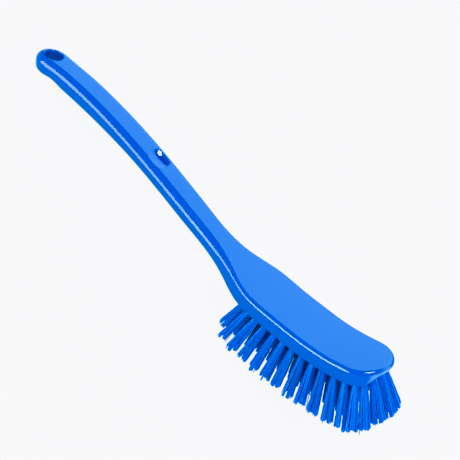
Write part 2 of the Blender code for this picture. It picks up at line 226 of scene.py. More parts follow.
def edit(obj, kind="VERT", action="DESELECT"):
    """Opens an object for editing, with nothing selected unless all of it is asked for."""
    pick(obj)
    bpy.ops.object.mode_set(mode="EDIT")
    bpy.ops.mesh.select_mode(type=kind)
    bpy.ops.mesh.select_all(action=action)
    return bmesh.from_edit_mesh(obj.data)


def face_out():
    """Turns every face of the object being edited outward."""
    bpy.ops.mesh.select_all(action="SELECT")
    bpy.ops.mesh.normals_make_consistent(inside=False)


def done():
    """Ends the editing."""
    bpy.ops.object.mode_set(mode="OBJECT")


def twin(first):
    """A copy of an object, with a mesh of its own."""
    second = first.copy()
    second.data = first.data.copy()
    bpy.context.collection.objects.link(second)
    return second


def joined(*objects):
    """Joins these objects into the last one."""
    pick(*objects)
    bpy.ops.object.join()
    return bpy.context.active_object


# %% Stations along the back, close together on the round ends
MIDDLE_STATIONS, END_CAP_STATIONS, FRONT_CAP_STATIONS = 150, 14, 24

quarter = math.pi / 2
end_cap = [END_CAP_LENGTH * (1 - math.cos(quarter * (i + 0.5) / END_CAP_STATIONS)) - BACK_LENGTH
           for i in range(END_CAP_STATIONS)]
front_cap = [FRONT_CAP_LENGTH * (math.sin(quarter * (i - 0.5) / FRONT_CAP_STATIONS) - 1)
             for i in range(1, FRONT_CAP_STATIONS + 1)]
middle = np.linspace(END_CAP_LENGTH - BACK_LENGTH, -FRONT_CAP_LENGTH, MIDDLE_STATIONS)
stations = sorted(end_cap + [float(x) for x in middle[:-1]] + front_cap)
print("Stations:", len(stations))

# %% The outline of the flat back
def flat_half_width(x):
    width = HANDLE_FLAT_WIDTH + (BLOCK_FLAT_WIDTH - HANDLE_FLAT_WIDTH) * flare.at(x)
    front = held((x + FRONT_CAP_LENGTH) / FRONT_CAP_LENGTH)
    end = held((END_CAP_LENGTH - BACK_LENGTH - x) / END_CAP_LENGTH)
    return width / 2 * (1 - front**FRONT_CAP_POWER)**(1 / FRONT_CAP_POWER) * math.sqrt(1 - end**2)


near_side = [(x, -flat_half_width(x)) for x in stations]
outline = near_side + [(x, -y) for x, y in reversed(near_side)]
outward_of = []
for i, (x, y) in enumerate(outline):
    along = (Vector(outline[(i + 1) % len(outline)]) - Vector(outline[i - 1])).normalized()
    outward_of.append(Vector((along.y, -along.x, back_height.slope(x) * along.y)).normalized())
print("Points round the back:", len(outline))

# %% The section: how far out and how far down each ring lies
HANDLE_EDGE_RADIUS, BLOCK_EDGE_RADIUS = 0.0066, 0.0034
HANDLE_BELLY_RADIUS, BLOCK_BELLY_RADIUS = 0.0060, 0.0015
WALL_DRAFT = 0.0005
EDGE_RINGS, BELLY_RINGS = 18, 8
PARTING_WIDTH, PARTING_HEIGHT = 0.0005, 0.00006


def section(x):
    """(out, down) of each ring below the flat back, at this station."""
    blend = neck_blend(x)
    edge = HANDLE_EDGE_RADIUS + (BLOCK_EDGE_RADIUS - HANDLE_EDGE_RADIUS) * blend
    belly = HANDLE_BELLY_RADIUS + (BLOCK_BELLY_RADIUS - HANDLE_BELLY_RADIUS) * blend
    depth = body_depth(x)
    turns = [quarter * i / EDGE_RINGS for i in range(1, EDGE_RINGS + 1)]
    pairs = [(edge * math.sin(turn), edge * (1 - math.cos(turn))) for turn in turns]
    half_down = (edge + depth - belly) / 2
    for step, rise in ((-1, 0), (0, PARTING_HEIGHT), (1, 0)):
        pairs.append((edge - WALL_DRAFT / 2 + rise, half_down + step * PARTING_WIDTH / 2))
    for i in range(BELLY_RINGS + 1):
        turn = quarter * i / BELLY_RINGS
        inward, upward = belly * (1 - math.cos(turn)), belly * (1 - math.sin(turn))
        pairs.append((edge - WALL_DRAFT - inward, depth - upward))
    return pairs


sections = [section(x) for x, _ in outline]
last_ring = len(sections[0])
print("Rings:", last_ring + 1)

# %% Laying a ring
def marks_of(bm):
    """What each point carries: its place in the outline and the number of its ring."""
    return bm.verts.layers.int["place"], bm.verts.layers.int["ring"]


def lay_ring(bm, number):
    """Puts the selected points on the body: ring 0 edges the flat back, the rest go out and down."""
    place_of, ring_of = marks_of(bm)
    for vert in bm.verts:
        if vert.select:
            i = vert[place_of]
            out, down = sections[i][number - 1] if number else (0, 0)
            x, y = outline[i]
            vert.co = on_back(x, y) + out * outward_of[i] - down * up_at(x)
            vert[ring_of] = number


bpy.ops.mesh.primitive_circle_add(vertices=len(outline), radius=BACK_LENGTH / 2)
moulding = bpy.context.active_object
moulding.name = "brush_moulding"
bm = edit(moulding)
for name in ("place", "ring"):
    bm.verts.layers.int.new(name)
bm.verts.ensure_lookup_table()
place_of, ring_of = marks_of(bm)
for vert in bm.verts:
    vert[place_of] = vert.index
    vert.select_set(True)
bm.select_flush(True)
lay_ring(bm, 0)
for number in range(1, last_ring + 1):
    bpy.ops.mesh.extrude_region_move()
    lay_ring(bmesh.from_edit_mesh(moulding.data), number)
bmesh.update_edit_mesh(moulding.data)
done()
print("Wall drawn up:", len(moulding.data.polygons), "faces")

# %% [markdown]
# ### Closing the back and the underside
#
# The first and the last ring are still open. Each is closed by bridging its near side to its far
# side, so that every strip runs straight across the brush and the back stays flat from side to side
# while it arches from end to end. One big face would sag between its corners, and a fan would leave a
# pole.

# %% Bridge near side to far side
side = len(near_side)
for number in (0, last_ring):
    bm = edit(moulding, "EDGE")
    place_of, ring_of = marks_of(bm)
    for edge in bm.edges:
        one, two = edge.verts
        if one[ring_of] == two[ring_of] == number and (one[place_of] < side) == (two[place_of] < side):
            edge.select_set(True)
    bpy.ops.mesh.bridge_edge_loops()
    done()

edit(moulding)
face_out()
open_edges = sum(1 for edge in bmesh.from_edit_mesh(moulding.data).edges if not edge.is_manifold)
done()
print("Moulding:", len(moulding.data.polygons), "faces,", open_edges, "open edges")

# %% [markdown]
# ## Holes in the moulding
#
# The real mould has a steel pin wherever the brush has a hole. The pins are modelled the same way,
# and a Boolean modifier takes each one out of the body. Inset and extrude could sink a hole in one
# flat face, but these cut across many small faces, which is what a Boolean is for.
#
# The hanging hole's pin flares at both ends, because the real rim is rounded: it is drawn up ring by
# ring from a circle, with extrude, resize and translate.

# %% A frame square to the back, and a pin taken out of the body
def square_frame(origin, out):
    """A frame whose Z points along out and whose Y lies as near as it can to the brush's own Y."""
    z = out.normalized()
    x = Vector((0, 1, 0)).cross(z).normalized()
    matrix = Matrix((x, z.cross(x), z)).transposed().to_4x4()
    matrix.translation = origin
    return matrix


def take_out(pin, place):
    """Sets a pin at its place and cuts it out of the moulding."""
    pin.data.transform(place)
    pick(moulding)
    cut = moulding.modifiers.new("cut", "BOOLEAN")
    cut.operation = "DIFFERENCE"
    cut.solver = "EXACT"
    cut.object = pin
    bpy.ops.object.modifier_apply(modifier=cut.name)
    bpy.data.objects.remove(pin)
    print("Moulding after this cut:", len(moulding.data.polygons), "faces")


# %% The hanging hole
HANGING_HOLE_INSET, HANGING_HOLE_RADIUS, HANGING_HOLE_ROUNDING = 0.0080, 0.0082, 0.0012
ROUNDING_RINGS, HANGING_HOLE_SIDES, OVERRUN = 6, 72, 0.004

hole_x = HANGING_HOLE_INSET - BACK_LENGTH
wide = HANGING_HOLE_RADIUS + HANGING_HOLE_ROUNDING
flare_steps = [(wide - HANGING_HOLE_ROUNDING * math.sin(quarter * i / ROUNDING_RINGS),
                HANGING_HOLE_ROUNDING * (math.cos(quarter * i / ROUNDING_RINGS) - 1))
               for i in range(ROUNDING_RINGS + 1)]
pin_steps = flare_steps + [(r, -body_depth(hole_x) - z) for r, z in reversed(flare_steps)]
pin_steps.append((wide, -body_depth(hole_x) - OVERRUN))

bpy.ops.mesh.primitive_circle_add(vertices=HANGING_HOLE_SIDES, radius=wide, fill_type="NGON",
                                  location=(0, 0, OVERRUN))
bpy.ops.object.transform_apply(location=True)
hanging_pin = bpy.context.active_object
edit(hanging_pin, "FACE", "SELECT")
radius, height = wide, OVERRUN
for next_radius, next_height in pin_steps:
    bpy.ops.mesh.extrude_region_move()
    bpy.ops.transform.translate(value=(0, 0, next_height - height))
    bpy.ops.transform.resize(value=(next_radius / radius, next_radius / radius, 1),
                             center_override=(0, 0, next_height))
    radius, height = next_radius, next_height
face_out()
done()
take_out(hanging_pin, square_frame(on_back(hole_x, 0), up_at(hole_x)))

# %% [markdown]
# ### The dished slot
#
# Two thirds of the way down the handle a narrow slot goes through it, off the middle, and the back is
# dished round it so that a cord or a finger finds it. The dish is the bottom of a large flattened
# ball. The slot's pin is a cylinder cut in two halves that are moved apart, as the ends of a keyhole
# are.

# %% The dish round the slot
SLOT_MIDDLE, SLOT_OFFSET, SLOT_LENGTH, SLOT_WIDTH = 0.2535, 0.0048, 0.0180, 0.0070
SCOOP_LENGTH, SCOOP_WIDTH, SCOOP_DEPTH, SCOOP_OFFSET = 0.0210, 0.0190, 0.0013, 0.0005
BALL_STEPS = 96

ball = SCOOP_LENGTH / 2
lift = ball - SCOOP_DEPTH
spread = math.sqrt(1 - (lift / ball)**2)
bpy.ops.mesh.primitive_uv_sphere_add(segments=BALL_STEPS, ring_count=BALL_STEPS, radius=ball)
dish = bpy.context.active_object
edit(dish, action="SELECT")
bpy.ops.transform.resize(value=(1 / spread, SCOOP_WIDTH / SCOOP_LENGTH / spread, 1))
done()
slot_up = up_at(-SLOT_MIDDLE)
take_out(dish, square_frame(on_back(-SLOT_MIDDLE, -SCOOP_OFFSET) + lift * slot_up, slot_up))

# %% The slot
# Points nearer to the cut than OFF_THE_CUT stay in the middle.
SLOT_SIDES, OFF_THE_CUT = 48, SLOT_WIDTH / 100

bpy.ops.mesh.primitive_cylinder_add(vertices=SLOT_SIDES, radius=SLOT_WIDTH / 2,
                                    depth=body_depth(-SLOT_MIDDLE) + 2 * OVERRUN)
slot_pin = bpy.context.active_object
edit(slot_pin, action="SELECT")
bpy.ops.mesh.bisect(plane_co=(0, 0, 0), plane_no=(1, 0, 0))
for way in (-1, 1):
    bpy.ops.mesh.select_all(action="DESELECT")
    bm = bmesh.from_edit_mesh(slot_pin.data)
    for vert in bm.verts:
        vert.select_set(way * vert.co.x > OFF_THE_CUT)
    bm.select_flush(True)
    bpy.ops.transform.translate(value=(way * (SLOT_LENGTH - SLOT_WIDTH) / 2, 0, 0))
done()
slot_middle = on_back(-SLOT_MIDDLE, SLOT_OFFSET) - slot_up * body_depth(-SLOT_MIDDLE) / 2
take_out(slot_pin, square_frame(slot_middle, slot_up))

# %% [markdown]
# ## Where the tufts stand
#
# A drilling machine puts one blind hole in the underside for each tuft: an outer row and an inner row
# on each side, and an arc of seven round the nose. The holes lean, so that the tufts fan out along
# the block and splay to its sides. Each tuft's frame has its origin at the mouth of its hole and its
# Z along the tuft, which serves the hole, its anchor's pocket and the tuft alike.

# %% The frame of every tuft
OUTER_ROW_OFFSET, OUTER_ROW_START, OUTER_ROW_PITCH, OUTER_ROW_TUFTS = 0.0208, 0.0206, 0.00924, 11
INNER_ROW_OFFSET, INNER_ROW_START, INNER_ROW_PITCH, INNER_ROW_TUFTS = 0.0076, 0.0236, 0.0088, 12
FRONT_ARC_START, FRONT_ARC_REACH, FRONT_ARC_TUFTS = 0.0187, 0.0150, 7
FAN_MIDDLE, FAN_RADIUS, SPLAY_RADIUS = 0.0787, 0.133, 0.074
FRONT_FLARE = math.radians(5)


def tuft_frame(x, y, flare_way=Vector((0, 0, 0))):
    lean, splay = (x + FAN_MIDDLE) / FAN_RADIUS, y / SPLAY_RADIUS
    fan = Vector((math.sin(lean), math.sin(splay), -math.cos(lean) * math.cos(splay))).normalized()
    return square_frame(under_back(x, y), fan + math.tan(FRONT_FLARE) * flare_way)


tuft_frames = {}
for side, sign in (("near", -1), ("far", 1)):
    for i in range(OUTER_ROW_TUFTS):
        tuft_frames[f"tuft_{side}_outer_{i + 1:02d}"] = tuft_frame(
            -OUTER_ROW_START - i * OUTER_ROW_PITCH, sign * OUTER_ROW_OFFSET)
    for i in range(INNER_ROW_TUFTS):
        tuft_frames[f"tuft_{side}_inner_{i + 1:02d}"] = tuft_frame(
            -INNER_ROW_START - i * INNER_ROW_PITCH, sign * INNER_ROW_OFFSET)
for i in range(FRONT_ARC_TUFTS):
    turn = math.pi * (i + 1) / (FRONT_ARC_TUFTS + 1)
    tuft_frames[f"tuft_front_{i + 1}"] = tuft_frame(
        FRONT_ARC_REACH * math.sin(turn) - FRONT_ARC_START, -OUTER_ROW_OFFSET * math.cos(turn),
        Vector((math.sin(turn), -math.cos(turn), 0)))
print("Tufts:", len(tuft_frames), "all in the CAD:", set(tuft_frames) <= set(frame["nodes"]))

# %% The blind holes and the pockets that the anchors bite
HOLE_RADIUS, HOLE_DEPTH, HOLE_SIDES = 0.0023, 0.0070, 20
ANCHOR_THICKNESS, ANCHOR_HEIGHT, ANCHOR_BITE, ANCHOR_INSET = 0.0005, 0.0016, 0.0006, 0.0005
TUFT_CLEARANCE = 0.0003


def copies_at_tufts(first):
    """A pin for every tuft, copied from the first and joined to the others."""
    pins = []
    for place in tuft_frames.values():
        pin = twin(first)
        pin.data.transform(place)
        pins.append(pin)
    bpy.data.objects.remove(first)
    return joined(*pins)


def anchor_block(gap):
    """A block where the anchor lies, larger than the anchor by this gap on every side."""
    middle = ANCHOR_INSET + TUFT_CLEARANCE - HOLE_DEPTH + ANCHOR_HEIGHT / 2
    bpy.ops.mesh.primitive_cube_add(size=1, location=(0, 0, middle))
    bpy.ops.transform.resize(value=(ANCHOR_THICKNESS + 2 * gap, 2 * (HOLE_RADIUS + ANCHOR_BITE + gap),
                                    ANCHOR_HEIGHT + 2 * gap))
    bpy.ops.object.transform_apply(location=True, scale=True)
    return bpy.context.active_object


bpy.ops.mesh.primitive_cylinder_add(vertices=HOLE_SIDES, radius=HOLE_RADIUS, depth=HOLE_DEPTH + OVERRUN,
                                    location=(0, 0, (OVERRUN - HOLE_DEPTH) / 2))
bpy.ops.object.transform_apply(location=True)
take_out(copies_at_tufts(bpy.context.active_object), Matrix())
take_out(copies_at_tufts(anchor_block(TUFT_CLEARANCE)), Matrix())

# %% [markdown]
# ### Smooth where it is round, crisp where it is cut
#
# Faces that meet at less than 35 degrees are shaded as one surface. Then the Weighted Normal modifier
# lets the large faces of the back decide how their corners are shaded, so the flat looks flat right
# up to the rounding, and the highlight keeps a clean edge.

# %% Shade the moulding and set it at rest
SMOOTH_BELOW = math.radians(35)

moulding.data.transform(to_rest)
for vert in moulding.data.vertices:
    vert.co.z = max(vert.co.z, 0)
for name in ("place", "ring"):
    moulding.data.attributes.remove(moulding.data.attributes[name])
pick(moulding)
bpy.ops.object.shade_smooth_by_angle(angle=SMOOTH_BELOW)
weighted = moulding.modifiers.new("weighted", "WEIGHTED_NORMAL")
weighted.keep_sharp = True
bpy.ops.object.modifier_apply(modifier=weighted.name)
low, high = np.array(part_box("handle_block"))
corners = np.array([vert.co for vert in moulding.data.vertices])
print("Moulding against its CAD solid, in mm:",
      np.round(1000 * (corners.min(0) - low), 2), np.round(1000 * (corners.max(0) - high), 2))
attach(moulding, "root")
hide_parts("handle_block")

# %% [markdown]
# ## One filament
#
# A tuft is a bundle of extruded filament, half a millimetre thick and slightly crimped, so that the
# bundle stays open and holds dirt. Hair curves could do this in a render, but they have no mesh to
# keep. So one filament is modelled: a small square is drawn up in steps, each moved a little to one
# side and the other for the crimp, and every strand of every tuft is a copy of it.

# %% Model one filament
FILAMENT_RADIUS = 0.00034
CRIMP_REACH, CRIMP_STEPS = 0.00013, 9
BRISTLE_LENGTH, ROOT_DEPTH = 0.0400, 0.0060
FILAMENT_SMOOTH_BELOW = math.radians(60)

filament_length = BRISTLE_LENGTH + ROOT_DEPTH
bpy.ops.mesh.primitive_circle_add(vertices=4, radius=FILAMENT_RADIUS, fill_type="NGON",
                                  location=(0, 0, -ROOT_DEPTH))
bpy.ops.object.transform_apply(location=True)
filament = bpy.context.active_object
edit(filament, "FACE", "SELECT")
for i in range(CRIMP_STEPS):
    side = CRIMP_REACH * {0: 0.5, CRIMP_STEPS - 1: 1}.get(i, 2)
    bpy.ops.mesh.extrude_region_move()
    bpy.ops.transform.translate(value=(side if i % 2 else -side, 0, filament_length / CRIMP_STEPS))
face_out()
done()
bpy.ops.object.shade_smooth_by_angle(angle=FILAMENT_SMOOTH_BELOW)
print("One filament:", len(filament.data.polygons), "faces")

# %% [markdown]
# ## One tuft
#
# In its hole the bundle is packed tight. Outside it opens like a sheaf, faster near the hole than
# near the tip, and its strands cling together in a few locks whose ends are trimmed unevenly. The
# middle of a lock reaches furthest, and now and then a stray strand has left its lock. Strand by
# strand, a copy of the filament is sheared from its place in the hole to its place at the tip, then
# bowed outward. Places follow the turn of a sunflower's seeds, which fills a round area evenly. Seven
# tufts with different seeds are enough for neighbours to differ.

# %% Strands from root to tip
# The pairs are limits of random shares. FEW_SHORT_LOCKS is a power that makes short locks rare.
STRANDS, TUFT_KINDS = 96, 7
ROOT_SPREAD, TIP_SPREAD, OPENING, LOOSENESS = 0.00190, 0.0055, 0.65, (0.85, 1.08)
LOCKS, LOCK_PULL, LOCK_HOLDS, LOCK_PLACES = 5, 0.40, (0.5, 1.3), (0.45, 0.80)
STRAY_SHARE, STRAY_REACH = 0.02, 1.20
TRIM_RAGGEDNESS, LOCK_RAGGEDNESS, LOCK_POINT, FEW_SHORT_LOCKS = 0.0010, 0.0034, 0.0022, 1.5
full_turn, golden_turn = 2 * math.pi, math.pi * (3 - math.sqrt(5))


def sheaf(seed):
    """(root, tip, length, turn) for each strand of one kind of tuft."""
    draw = random.Random(seed)
    lock_spin = draw.uniform(0, full_turn)
    locks = []
    for i in range(LOCKS):
        turn = lock_spin + full_turn * i / LOCKS
        middle = Vector((math.cos(turn), math.sin(turn))) * TIP_SPREAD * draw.uniform(*LOCK_PLACES)
        locks.append((middle, LOCK_RAGGEDNESS * draw.random()**FEW_SHORT_LOCKS))
    strands = []
    for i in range(STRANDS):
        share = math.sqrt((i + 0.5) / STRANDS)
        way = Vector((math.cos(i * golden_turn + seed), math.sin(i * golden_turn + seed)))
        loose = way * TIP_SPREAD * share * draw.uniform(*LOOSENESS)
        lock, short = min(locks, key=lambda found: (found[0] - loose).length)
        tip = loose.lerp(lock, LOCK_PULL * draw.uniform(*LOCK_HOLDS))
        cut = short + LOCK_POINT * (loose - lock).length / TIP_SPREAD + draw.uniform(0, TRIM_RAGGEDNESS)
        if draw.random() < STRAY_SHARE:
            tip, cut = way * TIP_SPREAD * STRAY_REACH * share, draw.uniform(0, TRIM_RAGGEDNESS)
        turn = draw.uniform(0, full_turn)
        strands.append((way * ROOT_SPREAD * share, tip, BRISTLE_LENGTH - cut, turn))
    return strands


def strand_matrix(root, tip, length, turn):
    """Turns the filament about itself, cuts it to length and shears it from its root to its tip."""
    shear = Matrix.Identity(4)
    for axis in (0, 1):
        shear[axis][2] = (tip[axis] - root[axis]) / length
        shear[axis][3] = root[axis]
    down, back_up = (Matrix.Translation((0, 0, way * ROOT_DEPTH)) for way in (-1, 1))
    stretch = Matrix.Scale((length + ROOT_DEPTH) / filament_length, 4, (0, 0, 1))
    return shear @ (down @ stretch @ back_up) @ Matrix.Rotation(turn, 4, "Z")


# %% Gather the strands of each kind of tuft
TINT_SEED = 100


def add_floats(mesh, name, values):
    layer = mesh.attributes.new(name, "FLOAT", "POINT")
    layer.data.foreach_set("value", values)


def gather(seed):
    """One kind of tuft, joined from strands that carry their own tint and the way along them."""
    draw = random.Random(TINT_SEED + seed)
    strands = []
    for root, tip, length, turn in sheaf(seed):
        strand = twin(filament)
        heights = [(vert.co.z + ROOT_DEPTH) / filament_length for vert in strand.data.vertices]
        add_floats(strand.data, "along", heights)
        add_floats(strand.data, "tint", [draw.random()] * len(heights))
        strand.data.transform(strand_matrix(root, tip, length, turn))
        outward = tip - root
        for vert in strand.data.vertices:
            if vert.co.z > 0:
                way_up = min(vert.co.z / length, 1)
                for axis in (0, 1):
                    vert.co[axis] += outward[axis] * (way_up**OPENING - way_up)
            elif vert.co.z < 0:
                packed = ROOT_SPREAD / max(ROOT_SPREAD, Vector(vert.co[:2]).length)
                for axis in (0, 1):
                    vert.co[axis] *= packed
        strands.append(strand)
    return joined(*strands)


tuft_kinds = [gather(seed) for seed in range(TUFT_KINDS)]
bpy.data.objects.remove(filament)
print("One tuft:", len(tuft_kinds[0].data.polygons), "faces in", STRANDS, "strands")

# %% [markdown]
# ### The anchor
#
# A short flat wire is driven in with each tuft. It holds the fold down, and its ends bite the plastic
# on both sides of the hole. It never shows on a finished brush, but it is what makes one, so each
# tuft carries its own: a cube brought to size, with a small bevel on its edges.

# %% Model the anchor
EDGE_BEVEL = ANCHOR_THICKNESS / 5

anchor = anchor_block(0)
edit(anchor, action="SELECT")
bpy.ops.mesh.bevel(offset=EDGE_BEVEL, segments=2)
done()
print("Anchor:", len(anchor.data.polygons), "faces")

# %% [markdown]
# ## The plastics
#
# Both plastics are deep blue, but they catch light differently, so each has a blue of its own. The
# moulding is glossy, with the faint clouds and specks that a moulded skin has and a few fine rubs
# along it. Its blue keeps a trace of red, which lies evenly on it, so that less red has to come from
# its reflections, which are grainy in a short render. The filament is satin. Each strand has its own
# depth of blue and is paler at its cut end. The inner rows stand in the shade of the outer ones, and
# that shade is painted on their roots as a darker blue, save at the rear, where the last tuft of a row
# stands free.
#
# The walls of the hanging hole and of the slot are left by core pins. They look deeper than the skin,
# as light reaches them only from one blue wall to the next, and the hole's are duller too. That light
# and shade are painted into their colour, held to upright walls inside a ball round the hole or the
# slot: painted shade, a darker blue, on the hole's walls, and painted light, a paler blue, on the
# slot's. A lamp shows in the slot's wall as one small white spot. The wall is too plain to catch it,
# so at that place the shading normal leans over until it does, as a small dent would.
#
# Shader maths is easier to read as sums than as rows of nodes. The small class below wraps a socket,
# so that `SATIN_ROUGHNESS + tint * STRAND_DULLNESS` adds its Math nodes by itself. A finish has a few
# methods for other nodes.

# %% Sockets that can be added and multiplied
class Value:
    """A number socket of a material, with the maths that these finishes need."""

    def __init__(self, finish, socket):
        self.finish, self.socket = finish, socket

    def maths(self, operation, one, two):
        return self.finish.node("ShaderNodeMath", {"operation": operation}, {0: one, 1: two})

    def __add__(self, other):
        return self.maths("ADD", self, other)

    def __sub__(self, other):
        return self.maths("SUBTRACT", self, other)

    def __mul__(self, other):
        return self.maths("MULTIPLY", self, other)

    __radd__ = __add__
    __rmul__ = __mul__


class Finish:
    """A new material, or the room's own shading, with methods that add nodes to it."""

    def __init__(self, name, room=False):
        self.material = (bpy.data.worlds if room else bpy.data.materials).new(name)
        self.material.use_nodes = True
        self.tree = self.material.node_tree
        self.shader = self.tree.nodes["Background" if room else "Principled BSDF"]

    def node(self, kind, settings=None, sockets=None, output=0):
        made = self.tree.nodes.new(kind)
        for key, value in (settings or {}).items():
            setattr(made, key, value)
        self.plug(made, sockets or {})
        return Value(self, made.outputs[output])

    def plug(self, made, sockets):
        for key, value in sockets.items():
            if isinstance(value, Value):
                self.tree.links.new(value.socket, made.inputs[key])
            else:
                made.inputs[key].default_value = value

    def vectors(self, operation, *values, output=0):
        sockets = dict(enumerate(values))
        return self.node("ShaderNodeVectorMath", {"operation": operation}, sockets, output)

    def noise(self, where, scale, detail=2.0):
        sockets = {"Vector": where, "Scale": scale, "Detail": detail}
        return self.node("ShaderNodeTexNoise", None, sockets)

    def mix(self, factor, one, two, kind="RGBA"):
        """Mixes colours or vectors, for which the node has sockets and an output of their own."""
        first, second, output = {"RGBA": (6, 7, 2), "VECTOR": (4, 5, 1)}[kind]
        sockets = {0: factor, first: one, second: two}
        return self.node("ShaderNodeMix", {"data_type": kind}, sockets, output)

    def spread(self, value, low, high, to_low=0.0, to_high=1.0):
        """Stretches the part of a value between low and high, and holds it at the ends."""
        return self.node("ShaderNodeMapRange", {"clamp": True}, {
            "Value": value, "From Min": low, "From Max": high, "To Min": to_low, "To Max": to_high})


# %% The glossy moulding
PLASTIC_IOR = 1.5
BODY_BLUE, BODY_BLUE_DEEP = (0.070, 0.098, 0.770, 1.0), (0.068, 0.094, 0.750, 1.0)
# The slot's blue is painted light on its upright walls, the hole's blue is painted shade on its walls.
SLOT_PAINTED_LIGHT_BLUE, HOLE_PAINTED_SHADE_BLUE = (0.0, 0.155, 0.870, 1.0), (0.0, 0.076, 0.560, 1.0)
CLOUD_SCALE, SPECK_SCALE, RUB_SCALES = 28.0, 900.0, (90, 900, 900)
CLOUD_LIMITS, RUB_LIMITS, UPRIGHT_LIMITS = (0.35, 0.65), (0.66, 0.82), (0.45, 0.70)
SKIN_ROUGHNESS, CLOUD_DULLNESS, SPECK_DULLNESS, RUB_DULLNESS = 0.05, 0.01, 0.01, 0.03
HOLE_REACH, HOLE_DULLNESS = 0.0113, 0.35
# Where the slot's painted light lies: a flattened ball just below its mouth.
SLOT_PAINTED_LIGHT_DEPTH, SLOT_PAINTED_LIGHT_REACH, SLOT_PAINTED_LIGHT_FLATNESS = 0.003, 0.56 * SLOT_LENGTH, 1.9
GLINT_PLACE, GLINT_REACH, GLINT_FACES = (-0.0061, 0.0034, -0.0012), 0.0025, (0.070, -0.438, 0.896)
MASK_EDGE = 0.05

gloss = Finish("glossy_blue_moulding")
where = gloss.node("ShaderNodeTexCoord", output="Object")
cloud = gloss.spread(gloss.noise(where, CLOUD_SCALE, 3.0), *CLOUD_LIMITS)
speck = gloss.noise(where, SPECK_SCALE, 1.0)
drawn_out = gloss.node("ShaderNodeMapping", None, {"Vector": where, "Scale": RUB_SCALES})
rubs = gloss.spread(gloss.noise(drawn_out, 1.0, 3.0), *RUB_LIMITS)
faces = gloss.node("ShaderNodeNewGeometry", output="Normal")
level = gloss.vectors("DOT_PRODUCT", faces, tuple(to_rest.to_3x3() @ slot_up), output="Value")
upright = gloss.spread(level, *UPRIGHT_LIMITS, 1.0, 0.0)


def near_place(place, reach, flatness=1.0):
    """A mask for a ball round a place, flattened across the brush."""
    away = gloss.vectors("SUBTRACT", where, tuple(to_rest @ place))
    away = gloss.vectors("MULTIPLY", away, (1, flatness, 1))
    distance = gloss.vectors("LENGTH", away, output="Value")
    return gloss.spread(distance, reach * (1 - MASK_EDGE), reach * (1 + MASK_EDGE), 1.0, 0.0)


slot_mouth = on_back(-SLOT_MIDDLE, SLOT_OFFSET)
slot_inside = slot_mouth - SLOT_PAINTED_LIGHT_DEPTH * slot_up
hole_middle = on_back(hole_x, 0) - up_at(hole_x) * body_depth(hole_x) / 2
# Painted light and shade: the hole's walls are coloured darker and the slot's paler, for the light that
# reaches them.
slot_painted_light = upright * near_place(slot_inside, SLOT_PAINTED_LIGHT_REACH, SLOT_PAINTED_LIGHT_FLATNESS)
hole_painted_shade_and_dullness = upright * near_place(hole_middle, HOLE_REACH)
tinted = gloss.mix(cloud, BODY_BLUE, BODY_BLUE_DEEP)
tinted = gloss.mix(hole_painted_shade_and_dullness, gloss.mix(slot_painted_light, tinted, SLOT_PAINTED_LIGHT_BLUE), HOLE_PAINTED_SHADE_BLUE)
skin = SKIN_ROUGHNESS + cloud * CLOUD_DULLNESS + speck * SPECK_DULLNESS + rubs * RUB_DULLNESS
glint = upright * near_place(slot_mouth + Vector(GLINT_PLACE), GLINT_REACH)
leaning = gloss.mix(glint, faces, GLINT_FACES, "VECTOR")
gloss.plug(gloss.shader, {
    "Base Color": tinted,
    "Normal": gloss.vectors("NORMALIZE", leaning),
    "Roughness": skin + hole_painted_shade_and_dullness * HOLE_DULLNESS,
    "IOR": PLASTIC_IOR,
})
moulding.data.materials.clear()
moulding.data.materials.append(gloss.material)
print("Moulding finish:", len(gloss.tree.nodes), "nodes")

# %% The satin filament and the anchor's wire
STRAND_BLUE, STRAND_BLUE_DEEP = (0.0, 0.149, 0.930, 1.0), (0.0, 0.085, 0.680, 1.0)
# The shaded blue is painted shade for the roots of the inner rows.
TIP_BLUE, SHADED_BLUE = (0.0, 0.165, 0.950, 1.0), (0.0, 0.028, 0.240, 1.0)
MOST_TINT, TIP_START, MOST_PALE = 0.55, 0.90, 0.6
SHADE_LIMITS, ROOT_SHADE, TIP_SHADE = (0.35, 0.85), 0.85, 0.15
SATIN_ROUGHNESS, STRAND_DULLNESS = 0.34, 0.10
STEEL_DARK, STEEL_PALE, STEEL_CLOUD_SCALE = (0.42, 0.41, 0.40, 1.0), (0.56, 0.55, 0.53, 1.0), 2500.0
STEEL_ROUGHNESS, SCRATCH_DULLNESS, SCRATCH_SCALE = 0.28, 0.15, 4000.0

satin = Finish("satin_blue_filament")
tint, along, painted_root_shade = (satin.node("ShaderNodeAttribute", {"attribute_name": name}, output="Fac")
                       for name in ("tint", "along", "painted_root_shade"))
body = satin.mix(satin.spread(tint, 0.0, 1.0, 0.0, MOST_TINT), STRAND_BLUE, STRAND_BLUE_DEEP)
# Painted shade: the inner tufts' roots are coloured darker, fading towards the tip.
shade = painted_root_shade * satin.spread(along, *SHADE_LIMITS, ROOT_SHADE, TIP_SHADE)
rooted = satin.mix(shade, body, SHADED_BLUE)
satin.plug(satin.shader, {
    "Base Color": satin.mix(satin.spread(along, TIP_START, 1.0, 0.0, MOST_PALE), rooted, TIP_BLUE),
    "Roughness": SATIN_ROUGHNESS + tint * STRAND_DULLNESS,
    "IOR": PLASTIC_IOR,
})

wire = Finish("drawn_steel_wire")
on_wire = wire.node("ShaderNodeTexCoord", output="Object")
wire.plug(wire.shader, {
    "Base Color": wire.mix(wire.noise(on_wire, STEEL_CLOUD_SCALE), STEEL_DARK, STEEL_PALE),
    "Metallic": 1.0,
    "Roughness": STEEL_ROUGHNESS + wire.noise(on_wire, SCRATCH_SCALE) * SCRATCH_DULLNESS,
})
print("Filament finish:", len(satin.tree.nodes), "nodes")

